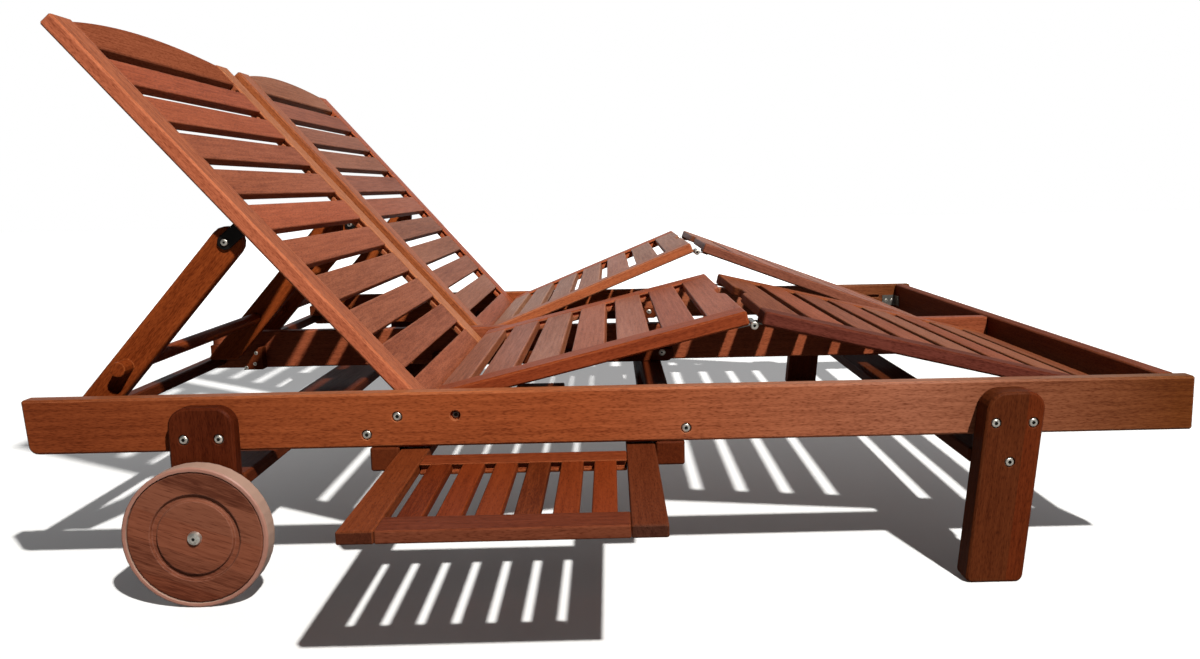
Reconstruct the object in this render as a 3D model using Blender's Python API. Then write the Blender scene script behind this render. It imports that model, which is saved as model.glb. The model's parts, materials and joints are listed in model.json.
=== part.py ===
"""Wooden double sun lounger with two lifting backs, two knee rests, wheels and a slide-out tray.

Metres, +Z up. X runs from the head end to the foot end, Y from the tray side across the width.
Lengths along X start at the head end of the rails, lengths along Y at the outer face of the tray-side rail;
one empty then moves the whole lounger so that its origin is on the floor under the middle of its box.
"""
import math

import bmesh
import bpy

for old in list(bpy.data.objects):
    bpy.data.objects.remove(old, do_unlink=True)

# Clearances
TOUCH = 0.0003
RUN = 0.001
CUT_OUT = 0.010
LAP = 0.002
SEAT = 0.0005

# Frame
RAIL_L = 1.750
RAIL_H = 0.0825
RAIL_T = 0.026
FRAME_W = 1.342
DECK_Z = 0.300
CENTRE_T = 0.028
CENTRE_DROP = 0.0025
FOOT_INSET = 0.0166
FOOT_T = 0.026
RAIL_HEAD_SLANT = 0.0045
RAIL_ROUND = 0.014
BAR_X0 = 0.004
BAR_W = 0.024
BAR_Z0 = 0.228
BAR_H = 0.021
UPSTAND_H = 0.023
UPSTAND_T = 0.022
RAIL_Z0 = DECK_Z - RAIL_H
BAR_TOP = BAR_Z0 + BAR_H
FOOT_X1 = RAIL_L - FOOT_INSET
FOOT_X0 = FOOT_X1 - FOOT_T
CENTRE_Y0 = FRAME_W / 2 - CENTRE_T / 2

# Bolts sunk in round pockets
POCKET_R = 0.0080
POCKET_D = 0.0080
LEG_POCKET_D = 0.0050

# Cleats for the prop dowels
CLEAT_X1 = 0.1155
CLEAT_L = 0.043
CLEAT_H = 0.049
CLEAT_T = 0.024
CLEAT_FLAT = 0.009

# Legs
WHEEL_LEG_X = 0.2715
WHEEL_LEG_W = 0.096
WHEEL_LEG_T = 0.024
WHEEL_LEG_TOP = 0.2887
WHEEL_LEG_BOLT = 0.0255
WHEEL_LEG_BOLT_Z = 0.2418
FRONT_LEG_IN = 0.3115
FRONT_LEG_W = 0.085
FRONT_LEG_T = 0.040
FRONT_LEG_TOP = 0.2905
FRONT_LEG_LEAN = math.radians(5.2)
FRONT_LEG_BOLT = 0.0275
FRONT_LEG_BOLT_Z = 0.2445
FRONT_LEG_LOW_BOLT_Z = 0.1856
LEG_CORNER = 0.028
FOOT_ROUND = 0.010
FRONT_LEG_X = RAIL_L - FRONT_LEG_IN

# Stretchers under the rails
STRETCHER_T = 0.022
FRONT_STRETCHER_W = 0.090
WHEEL_STRETCHER_W = 0.111
WHEEL_STRETCHER_TOP = 0.183

# Wheels
WHEEL_R = 0.1055
WHEEL_X = 0.2670
WHEEL_FACE = 0.0590
WHEEL_T = 0.0290
DISC_SINK = 0.0012
TYRE_T = 0.0065
TYRE_GAP = 0.0005
GROOVE_R0 = 0.0545
GROOVE_R1 = 0.0655
GROOVE_D = 0.0045
AXLE_R = 0.0065
AXLE_GAP = 0.0005
AXLE_IN = 0.0160
HEAD_R = 0.0105
HEAD_H = 0.0057
HEAD_EDGE = 0.0016
HEAD_FLAT_R = 0.0047
COLLAR_R = 0.0140
WHEEL_EDGE = 0.002

# Slatted panels
PANEL_GAP = 0.004
PANEL_GAP_CENTRE = 0.017
STILE_W = 0.0525
STILE_T = 0.022
SLAT_T = 0.016
SLAT_DROP = 0.0008
TENON = 0.010
DADO_H = 0.008
DADO_D = 0.007
DADO_END = 0.010
PIVOT_DROP = 0.036
PIVOT_Z = DECK_Z - PIVOT_DROP
LUG_R = 0.0145
BOSS_R = 0.010
LUG_OVERHANG = 0.028
PANEL_Y0 = RAIL_T + PANEL_GAP
PANEL_Y1 = CENTRE_Y0 - PANEL_GAP_CENTRE

# Backs
BACK_X = 0.5525
BACK_TILT = math.radians(48.9)
BACK_STILE_TOP = 0.758
CREST_W = 0.0543
CREST_STEP = 0.003
CREST_RISE = 0.0245
CREST_T = 0.0205
BACK_STEP = 0.0732
BACK_GAP = 0.0215
CREST_LOW = BACK_STILE_TOP - CREST_W
CREST_SHOULDER = BACK_STILE_TOP - CREST_STEP
BACK_RUN = CREST_LOW + LUG_OVERHANG - SEAT
BACK_SLATS = round(BACK_RUN / BACK_STEP)
BACK_PITCH = BACK_RUN / BACK_SLATS

# Props behind the backs
PROP_S = 0.3675
PROP_DROP = 0.0612
PROP_TILT = math.radians(48.5)
ARM_W = 0.048
ARM_T = 0.021
ARM_IN = 0.036
DOWEL_R = 0.0115
DOWEL_AT = 0.251
DOWEL_OUT = 0.027
PLATE_R = 0.0115
PLATE_T = 0.004
ARM_NOSE = 0.005
ARM_LIFT = 0.0006

# Knee rests
PIVOT_GAP = 0.0863
THIGH_LINK = 0.468
KNEE_DROP = 0.0254
PEG_DROP = 0.0165
PEG_BACK = 0.044
PEG_R = 0.00275
PEG_IN = 0.0080
SLOT_Z = 0.2665
SLOT_H = 0.0080
SLOT_D = 0.0095
SLOT_END = 0.0050
KNEE_NEAR = math.radians(14.95)
KNEE_FAR = math.radians(23.30)
KNEE_TOP = math.radians(26.0)
THIGH_PITCH = 0.0734
THIGH_GAP = 0.0198
THIGH_LAST = 0.0561
CALF_STEP = 0.0745
CALF_GAP = 0.0195
CALF_START = 0.0105
CALF_FIRST = 0.0660
CALF_LAST = 0.0465
CALF_FOOT_GAP = 0.0107
NOTCH_W = 0.125
NOTCH_FLAT = 0.050
NOTCH_D = 0.012
BARREL_R = 0.0060
BARREL_GAP = 0.0008
LEAF_T = 0.0016
LEAF_L = 0.024
LEAF_W = 0.040
THIGH_X = BACK_X + PIVOT_GAP

# Tray and its runners
TRAY_X = 0.745
TRAY_W = 0.3825
TRAY_T = 0.016
TRAY_DROP = 0.0053
TRAY_OUT = 0.326
TRAY_D = 0.300
TRAY_RAIL = 0.046
TRAY_STILE = 0.0435
TRAY_SLATS = 6
TRAY_SLAT_W = 0.0315
TRAY_SLAT_T = 0.012
TRAY_TAIL = 0.290
TAIL_W = 0.026
STOP_L = 0.0845
STOP_H = 0.036
RUNNER_H = 0.037
RUNNER_W = 0.0435
RUNNER_LIP = 0.0135
RUNNER_END = 0.001

# Boards that tie the runners to the rails
CARRIER_X0 = 0.481
CARRIER_X1 = 1.008
CARRIER_H = 0.0275
CARRIER_T = 0.022
CARRIER_ROUND = 0.016
CARRIER_BOLT = 0.025
CARRIER_BOLT_Z = 0.237

# Corner brackets
ANGLE_L = 0.038
ANGLE_T = 0.0025
ANGLE_H = 0.030
ANGLE_LIFT = 0.0215

# Soft edges
SOFT = 0.0025
SOFT_FRAME = 0.003
SOFT_SLAT = 0.0015
SOFT_STEEL = 0.0004
ARC_STEPS = 10

WOOD = ("wood", (0.300, 0.098, 0.043), 0.42, 0.0)
WOOD_SLAT = ("wood_slat", (0.320, 0.118, 0.062), 0.45, 0.0)
WOOD_DARK = ("wood_dark", (0.130, 0.045, 0.024), 0.48, 0.0)
TYRE = ("tyre", (0.520, 0.290, 0.200), 0.60, 0.0)
STEEL = ("steel", (0.600, 0.590, 0.570), 0.30, 1.0)


def material(spec):
    """One Principled material for each kind of stuff."""
    name, colour, roughness, metallic = spec
    made = bpy.data.materials.get(name)
    if made is None:
        made = bpy.data.materials.new(name)
        made.use_nodes = True
        shader = made.node_tree.nodes["Principled BSDF"]
        shader.inputs["Base Color"].default_value = (*colour, 1.0)
        shader.inputs["Roughness"].default_value = roughness
        shader.inputs["Metallic"].default_value = metallic
        made.diffuse_color = (*colour, 1.0)
    return made


def empty(name, parent, location, turn=0.0):
    """A pivot: an empty at a joint axis, turned about Y."""
    made = bpy.data.objects.new(name, None)
    bpy.context.scene.collection.objects.link(made)
    made.parent = parent
    made.location = location
    made.rotation_euler = (0.0, turn, 0.0)
    return made


def extrude(bm, outline, lo, hi, axis="Y"):
    """Adds a prism: a flat outline swept from lo to hi along an axis."""
    def place(point, c):
        a, b = point
        if axis == "X":
            return (c, a, b)
        if axis == "Y":
            return (a, c, b)
        return (a, b, c)
    low = [bm.verts.new(place(point, lo)) for point in outline]
    high = [bm.verts.new(place(point, hi)) for point in outline]
    bm.faces.new(low)
    bm.faces.new(high[::-1])
    count = len(outline)
    for i in range(count):
        j = (i + 1) % count
        bm.faces.new((low[j], low[i], high[i], high[j]))


def rectangle(a0, a1, b0, b1):
    return [(a0, b0), (a1, b0), (a1, b1), (a0, b1)]


def arc(ca, cb, ra, rb, start, end, steps=ARC_STEPS):
    """Points on an ellipse from one angle to another, in degrees."""
    points = []
    for i in range(steps + 1):
        turn = math.radians(start + (end - start) * i / steps)
        points.append((ca + ra * math.cos(turn), cb + rb * math.sin(turn)))
    return points


def circle(ca, cb, r, steps=12):
    return arc(ca, cb, r, r, 0.0, 360.0 - 360.0 / steps, steps - 1)


def soften(bm, width):
    """Breaks every sharp edge by the same width."""
    bmesh.ops.recalc_face_normals(bm, faces=bm.faces)
    sharp = [e for e in bm.edges if e.is_manifold and e.calc_face_angle() > math.radians(35)]
    bmesh.ops.bevel(bm, geom=sharp, offset=width, segments=1, profile=0.5,
                    affect="EDGES", clamp_overlap=True)


def solid(name, bm, parent, spec):
    """Turns a finished bmesh into a named object on its pivot."""
    bmesh.ops.recalc_face_normals(bm, faces=bm.faces)
    mesh = bpy.data.meshes.new(name)
    bm.to_mesh(mesh)
    bm.free()
    for face in mesh.polygons:
        face.use_smooth = True
    mesh.set_sharp_from_angle(angle=math.radians(30))
    mesh.materials.append(material(spec))
    made = bpy.data.objects.new(name, mesh)
    bpy.context.scene.collection.objects.link(made)
    made.parent = parent
    return made


def combine(made, bm, operation):
    """Joins a hidden shape to an object, or cuts it away."""
    tool = solid(made.name + "." + operation.lower(), bm, made.parent, STEEL)
    tool.hide_render = True
    tool.display_type = "WIRE"
    step = made.modifiers.new(operation.title(), "BOOLEAN")
    step.operation = operation
    step.solver = "EXACT"
    step.object = tool


def board(name, parent, spec, outline, lo, hi, axis="Y", soft=SOFT):
    bm = bmesh.new()
    extrude(bm, outline, lo, hi, axis)
    soften(bm, soft)
    return solid(name, bm, parent, spec)


def lathe(name, parent, spec, profile, steps=40):
    """Turns a closed profile of (radius, y) points about the Y axis of its pivot."""
    bm = bmesh.new()
    rings = []
    for i in range(steps):
        turn = 2.0 * math.pi * i / steps
        ring = [bm.verts.new((r * math.cos(turn), y, r * math.sin(turn))) for r, y in profile]
        rings.append(ring)
    count = len(profile)
    for i in range(steps):
        here = rings[i]
        after = rings[(i + 1) % steps]
        for j in range(count):
            k = (j + 1) % count
            if profile[j][0] > 0.0 or profile[k][0] > 0.0:
                bm.faces.new((here[j], here[k], after[k], after[j]))
    bmesh.ops.remove_doubles(bm, verts=bm.verts, dist=1e-6)
    return solid(name, bm, parent, spec)


def across(far, y0, y1):
    """A stretch of the width, mirrored for the far side."""
    if far:
        return FRAME_W - y1, FRAME_W - y0
    return y0, y1


SIDES = (("near", False), ("far", True))

# Whole lounger: the origin is under the middle of the box that holds it
box_y0 = -TRAY_OUT
box_y1 = FRAME_W + WHEEL_FACE - DISC_SINK + HEAD_H
root = empty("lounger", None, (-RAIL_L / 2, -(box_y0 + box_y1) / 2, 0.0))

# Knee linkage: the thigh turns about its bolt, the calf's pegs run in slots at one height
THIGH_RISE = math.asin((PIVOT_DROP - KNEE_DROP) / THIGH_LINK)
KNEE_X = THIGH_LINK * math.cos(THIGH_RISE)
CALF_END = FOOT_X0 - CALF_FOOT_GAP - THIGH_X - KNEE_X
CALF_LINK = CALF_END - PEG_BACK
CALF_FALL = math.asin((KNEE_DROP - PEG_DROP) / CALF_LINK)
PEG_X = CALF_LINK * math.cos(CALF_FALL)
calf_run = CALF_END - CALF_LAST - CALF_START - CALF_FIRST - CALF_GAP
CALF_SLATS = round(calf_run / CALF_STEP)
CALF_PITCH = calf_run / CALF_SLATS


def calf_slope(lift):
    """Slope of the line from the knee to the pegs when the thigh's line is at this lift."""
    return math.asin((PIVOT_Z + THIGH_LINK * math.sin(lift) - SLOT_Z) / CALF_LINK)


def peg_at(lift):
    return THIGH_X + THIGH_LINK * math.cos(lift) + CALF_LINK * math.cos(calf_slope(lift))


SLOT_X0 = peg_at(KNEE_TOP + THIGH_RISE) - PEG_R - SLOT_END
SLOT_X1 = peg_at(THIGH_RISE) + PEG_R + SLOT_END


def peg_slot(bm, y0, y1):
    r = SLOT_H / 2
    outline = arc(SLOT_X1 - r, SLOT_Z, r, r, -90, 90, 6) + arc(SLOT_X0 + r, SLOT_Z, r, r, 90, 270, 6)
    extrude(bm, outline, y0, y1)


# Side rails with sunk bolt pockets and the slots for the pegs
for side, far in SIDES:
    rail_outline = [(RAIL_L, RAIL_Z0), (RAIL_L, DECK_Z), (0.0, DECK_Z)]
    r = RAIL_ROUND
    rail_outline += arc(RAIL_HEAD_SLANT + r, RAIL_Z0 + r, r, r, 180, 270, 5)
    rail = board("side_rail_" + side, root, WOOD, rail_outline, *across(far, 0.0, RAIL_T), soft=SOFT_FRAME)
    cuts = bmesh.new()
    for x, z in ((BACK_X, PIVOT_Z), (THIGH_X, PIVOT_Z),
                 (CARRIER_X0 + CARRIER_BOLT, CARRIER_BOLT_Z), (CARRIER_X1 - CARRIER_BOLT, CARRIER_BOLT_Z)):
        extrude(cuts, circle(x, z, POCKET_R), *across(far, -CUT_OUT, POCKET_D))
    peg_slot(cuts, *across(far, RAIL_T - SLOT_D, RAIL_T + CUT_OUT))
    combine(rail, cuts, "DIFFERENCE")

# Centre rail between the two halves
centre_outline = rectangle(0.0, FOOT_X0 - TOUCH, RAIL_Z0, DECK_Z - CENTRE_DROP)
centre = board("centre_rail", root, WOOD, centre_outline, CENTRE_Y0, CENTRE_Y0 + CENTRE_T)
cuts = bmesh.new()
peg_slot(cuts, CENTRE_Y0 - CUT_OUT, CENTRE_Y0 + SLOT_D)
peg_slot(cuts, CENTRE_Y0 + CENTRE_T - SLOT_D, CENTRE_Y0 + CENTRE_T + CUT_OUT)
combine(centre, cuts, "DIFFERENCE")

board("foot_board", root, WOOD, rectangle(FOOT_X0, FOOT_X1, RAIL_Z0, DECK_Z),
      RAIL_T + TOUCH, FRAME_W - RAIL_T - TOUCH)

# Faces of the three rails that the smaller pieces are screwed to: each starts at one face and runs inwards
FACES = (("near", RAIL_T, 1), ("centre_near", CENTRE_Y0, -1),
         ("centre_far", CENTRE_Y0 + CENTRE_T, 1), ("far", FRAME_W - RAIL_T, -1))


def on_face(face, inward, thick):
    """A stretch of the width that lies against a rail face."""
    a = face + inward * TOUCH
    b = face + inward * (TOUCH + thick)
    return min(a, b), max(a, b)


# Head bars between the rails, each with an upstand at both ends
for side, far in SIDES:
    y0 = RAIL_T + TOUCH
    y1 = CENTRE_Y0 - TOUCH
    bar = board("head_bar_" + side, root, WOOD_DARK, rectangle(BAR_X0, BAR_X0 + BAR_W, BAR_Z0, BAR_TOP),
                *across(far, y0, y1))
    stops = bmesh.new()
    upstand = rectangle(BAR_X0 + SEAT, BAR_X0 + BAR_W - SEAT, BAR_TOP - 2.0 * LAP, BAR_TOP + UPSTAND_H)
    extrude(stops, upstand, *across(far, y0 + TOUCH, y0 + UPSTAND_T))
    extrude(stops, upstand, *across(far, y1 - UPSTAND_T, y1 - TOUCH))
    combine(bar, stops, "UNION")

# Three-cornered cleats for the ends of the dowels, and the boards that carry the tray runners
for name, face, inward in FACES:
    x0 = CLEAT_X1 - CLEAT_L
    top = RAIL_Z0 + CLEAT_H
    outline = [(x0, RAIL_Z0), (CLEAT_X1, RAIL_Z0), (CLEAT_X1, top), (CLEAT_X1 - CLEAT_FLAT, top)]
    y0, y1 = on_face(face, inward, CLEAT_T)
    board("prop_cleat_" + name, root, WOOD_DARK, outline, y0, y1, soft=SOFT_SLAT)
    r = CARRIER_ROUND
    outline = [(CARRIER_X1, RAIL_Z0 + CARRIER_H), (CARRIER_X0, RAIL_Z0 + CARRIER_H)]
    outline += arc(CARRIER_X0 + r, RAIL_Z0 + r, r, r, 180, 270, 6)
    outline += arc(CARRIER_X1 - r, RAIL_Z0 + r, r, r, 270, 360, 6)
    y0, y1 = on_face(face, inward, CARRIER_T)
    board("runner_carrier_" + name, root, WOOD_DARK, outline, y0, y1, soft=SOFT_SLAT)

# Steel angles in the two foot corners
for side, far in SIDES:
    x1 = FOOT_X0 - TOUCH
    x0 = x1 - ANGLE_L
    y0 = RAIL_T + TOUCH
    outline = [(x0, y0), (x1, y0), (x1, y0 + ANGLE_L), (x1 - ANGLE_T, y0 + ANGLE_L),
               (x1 - ANGLE_T, y0 + ANGLE_T), (x0, y0 + ANGLE_T)]
    if far:
        outline = [(x, FRAME_W - y) for x, y in outline]
    low = RAIL_Z0 + ANGLE_LIFT
    board("corner_bracket_" + side, root, STEEL, outline, low, low + ANGLE_H, axis="Z", soft=SOFT_STEEL)


def leg_top(x, half_wide, top):
    """The flat top of a leg with its two round corners."""
    r = LEG_CORNER
    return arc(x + half_wide - r, top - r, r, r, 0, 90, 6) + arc(x - half_wide + r, top - r, r, r, 90, 180, 6)


# Front legs, leaning so that the foot is nearer the head end
lean = math.tan(FRONT_LEG_LEAN)
half = FRONT_LEG_W / 2 / math.cos(FRONT_LEG_LEAN)
for side, far in SIDES:
    upright = leg_top(0.0, half, FRONT_LEG_TOP)
    upright += arc(-half + FOOT_ROUND, FOOT_ROUND, FOOT_ROUND, FOOT_ROUND, 180, 270, 4)
    upright += arc(half - FOOT_ROUND, FOOT_ROUND, FOOT_ROUND, FOOT_ROUND, 270, 360, 4)
    outline = [(FRONT_LEG_X + x + lean * z, z) for x, z in upright]
    y0, y1 = across(far, -FRONT_LEG_T, -TOUCH)
    leg = board("front_leg_" + side, root, WOOD_DARK, outline, y0, y1, soft=SOFT_FRAME)
    cuts = bmesh.new()
    for off, z in ((-FRONT_LEG_BOLT, FRONT_LEG_BOLT_Z), (FRONT_LEG_BOLT, FRONT_LEG_BOLT_Z),
                   (0.0, FRONT_LEG_LOW_BOLT_Z)):
        spot = circle(FRONT_LEG_X + off + lean * z, z, POCKET_R)
        extrude(cuts, spot, *across(far, -FRONT_LEG_T - CUT_OUT, -FRONT_LEG_T + LEG_POCKET_D))
    combine(leg, cuts, "DIFFERENCE")

# Wheel legs with a hole for the axle
for side, far in SIDES:
    half = WHEEL_LEG_W / 2
    outline = leg_top(WHEEL_LEG_X, half, WHEEL_LEG_TOP)
    outline += arc(WHEEL_LEG_X, WHEEL_R, half, half, 180, 360, 12)
    y0, y1 = across(far, -WHEEL_LEG_T, -TOUCH)
    leg = board("wheel_leg_" + side, root, WOOD_DARK, outline, y0, y1, soft=SOFT_FRAME)
    cuts = bmesh.new()
    for off in (-WHEEL_LEG_BOLT, WHEEL_LEG_BOLT):
        spot = circle(WHEEL_LEG_X + off, WHEEL_LEG_BOLT_Z, POCKET_R)
        extrude(cuts, spot, *across(far, -WHEEL_LEG_T - CUT_OUT, -WHEEL_LEG_T + LEG_POCKET_D))
    bore = circle(WHEEL_X, WHEEL_R, AXLE_R + TOUCH)
    extrude(cuts, bore, *across(far, -WHEEL_LEG_T - CUT_OUT, -WHEEL_LEG_T + AXLE_IN + TOUCH))
    combine(leg, cuts, "DIFFERENCE")

# Stretchers between the legs, under the rails
low_bolt_x = FRONT_LEG_X + lean * FRONT_LEG_LOW_BOLT_Z
for name, x, z, wide in (("front", low_bolt_x, FRONT_LEG_LOW_BOLT_Z + STRETCHER_T / 2, FRONT_STRETCHER_W),
                         ("wheel", WHEEL_X, WHEEL_STRETCHER_TOP, WHEEL_STRETCHER_W)):
    board(name + "_stretcher", root, WOOD_DARK, rectangle(x - wide / 2, x + wide / 2, z - STRETCHER_T, z),
          TOUCH, FRAME_W - TOUCH)

# Wheels: a grooved wooden disc in a tyre, on an axle fixed in the leg
for side, far in SIDES:
    way = 1.0 if far else -1.0
    hub_y = FRAME_W if far else 0.0
    wheel = empty("wheel_" + side, root, (WHEEL_X, hub_y, WHEEL_R))
    inner = WHEEL_FACE - WHEEL_T
    disc_r = WHEEL_R - TYRE_T - TYRE_GAP
    bore_r = AXLE_R + AXLE_GAP
    face = WHEEL_FACE - DISC_SINK
    edge = WHEEL_EDGE
    disc = [(bore_r, inner), (disc_r - edge, inner), (disc_r, inner + edge), (disc_r, face - edge),
            (disc_r - edge, face), (GROOVE_R1, face), (GROOVE_R1 - edge, face - GROOVE_D),
            (GROOVE_R0 + edge, face - GROOVE_D), (GROOVE_R0, face), (bore_r, face)]
    lathe("wheel_disc_" + side, wheel, WOOD, [(r, way * y) for r, y in disc])
    rim0 = disc_r + TYRE_GAP
    tyre = [(rim0, inner), (WHEEL_R - edge, inner), (WHEEL_R, inner + edge), (WHEEL_R, WHEEL_FACE - edge),
            (WHEEL_R - edge, WHEEL_FACE), (rim0, WHEEL_FACE)]
    lathe("wheel_tyre_" + side, wheel, TYRE, [(r, way * y) for r, y in tyre])
    crown = face + TOUCH
    shaft_end = WHEEL_LEG_T - AXLE_IN
    collar = WHEEL_LEG_T + TOUCH
    tip = face + HEAD_H
    axle = [(0.0, shaft_end), (AXLE_R, shaft_end), (AXLE_R, collar), (COLLAR_R, collar),
            (COLLAR_R, inner - TOUCH), (AXLE_R, inner - TOUCH), (AXLE_R, crown), (HEAD_R, crown),
            (HEAD_R - HEAD_EDGE, tip - HEAD_EDGE), (HEAD_FLAT_R, tip), (0.0, tip)]
    axle_pivot = empty("axle_pivot_" + side, root, (WHEEL_X, hub_y, WHEEL_R))
    lathe("axle_" + side, axle_pivot, STEEL, [(r, way * y) for r, y in axle], 24)


def stile_outline(x_tail, x_tip):
    """Side view of a stile lying flat: a bar with a round lug hanging at its pivot."""
    top = PIVOT_DROP
    under = PIVOT_DROP - STILE_T
    outline = [(x_tail, under), (x_tail, top), (x_tip, top), (x_tip, under)]
    lug = arc(0.0, 0.0, LUG_R, LUG_R, 180, 360, 8)
    if x_tip > x_tail:
        lug = lug[::-1]
    return outline + [(lug[0][0], under)] + lug + [(lug[-1][0], under)]


def plain_stile(x0, x1, drop):
    return rectangle(x0, x1, drop - STILE_T, drop)


def slat(bm, x0, x1, y0, y1, top, thick=SLAT_T):
    """A slat with its long edges broken."""
    b1 = top - SLAT_DROP
    b0 = b1 - thick
    s = SOFT_SLAT
    outline = [(x0, b0 + s), (x0 + s, b0), (x1 - s, b0), (x1, b0 + s),
               (x1, b1 - s), (x1 - s, b1), (x0 + s, b1), (x0, b1 - s)]
    extrude(bm, outline, y0, y1)


def merge(bm, piece):
    """Adds a finished bmesh to another."""
    spare = bpy.data.meshes.new("spare")
    piece.to_mesh(spare)
    piece.free()
    bm.from_mesh(spare)
    bpy.data.meshes.remove(spare)


def notched_slat(bm, x_plain, x_notch, y0, y1, top, mid):
    """A wide slat with a shallow finger notch in the middle of one edge."""
    piece = bmesh.new()
    inward = 1.0 if x_plain > x_notch else -1.0
    outline = [(x_plain, y0), (x_plain, y1), (x_notch, y1)]
    for i in range(ARC_STEPS + 1):
        off = NOTCH_W * (i / ARC_STEPS - 0.5)
        slope = max(abs(off) - NOTCH_FLAT / 2, 0.0) / (NOTCH_W - NOTCH_FLAT) * 2
        dip = NOTCH_D * (0.5 + 0.5 * math.cos(math.pi * slope))
        outline.append((x_notch + inward * dip, mid - off))
    outline.append((x_notch, y0))
    extrude(piece, outline, top - SLAT_DROP - SLAT_T, top - SLAT_DROP, "Z")
    soften(piece, SOFT_SLAT)
    merge(bm, piece)


def dado(made, far, y0, y1, x0, x1, top):
    """Cuts the groove in a stile's inner edge that holds the slats."""
    bm = bmesh.new()
    mid = top - SLAT_DROP - SLAT_T / 2
    outline = rectangle(min(x0, x1) + DADO_END, max(x0, x1) - DADO_END, mid - DADO_H / 2, mid + DADO_H / 2)
    extrude(bm, outline, *across(far, y0, y1))
    combine(made, bm, "DIFFERENCE")


OUTER_STILE = (PANEL_Y0, PANEL_Y0 + STILE_W)
INNER_STILE = (PANEL_Y1 - STILE_W, PANEL_Y1)
OUTER_DADO = (OUTER_STILE[1] - DADO_D, OUTER_STILE[1] + CUT_OUT)
INNER_DADO = (INNER_STILE[0] - CUT_OUT, INNER_STILE[0] + DADO_D)
SLAT_SPAN = (PANEL_Y0 + STILE_W + TOUCH, PANEL_Y1 - STILE_W + TENON)
OUTER_BOSS = (RAIL_T + TOUCH, PANEL_Y0 + TENON)
INNER_BOSS = (PANEL_Y1 - TENON, CENTRE_Y0 - TOUCH)
OUTER_PEG = (RAIL_T - PEG_IN, PANEL_Y0 + TENON)
INNER_PEG = (PANEL_Y1 - TENON, CENTRE_Y0 + PEG_IN)
ARM_OUTER = (PANEL_Y0 + ARM_IN, PANEL_Y0 + ARM_IN + ARM_T)
ARM_INNER = (PANEL_Y1 - ARM_IN - ARM_T, PANEL_Y1 - ARM_IN)
OUTER_PLATE = (ARM_OUTER[0] - TOUCH - PLATE_T, ARM_OUTER[0] - TOUCH)
INNER_PLATE = (ARM_INNER[1] + TOUCH, ARM_INNER[1] + TOUCH + PLATE_T)

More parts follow.
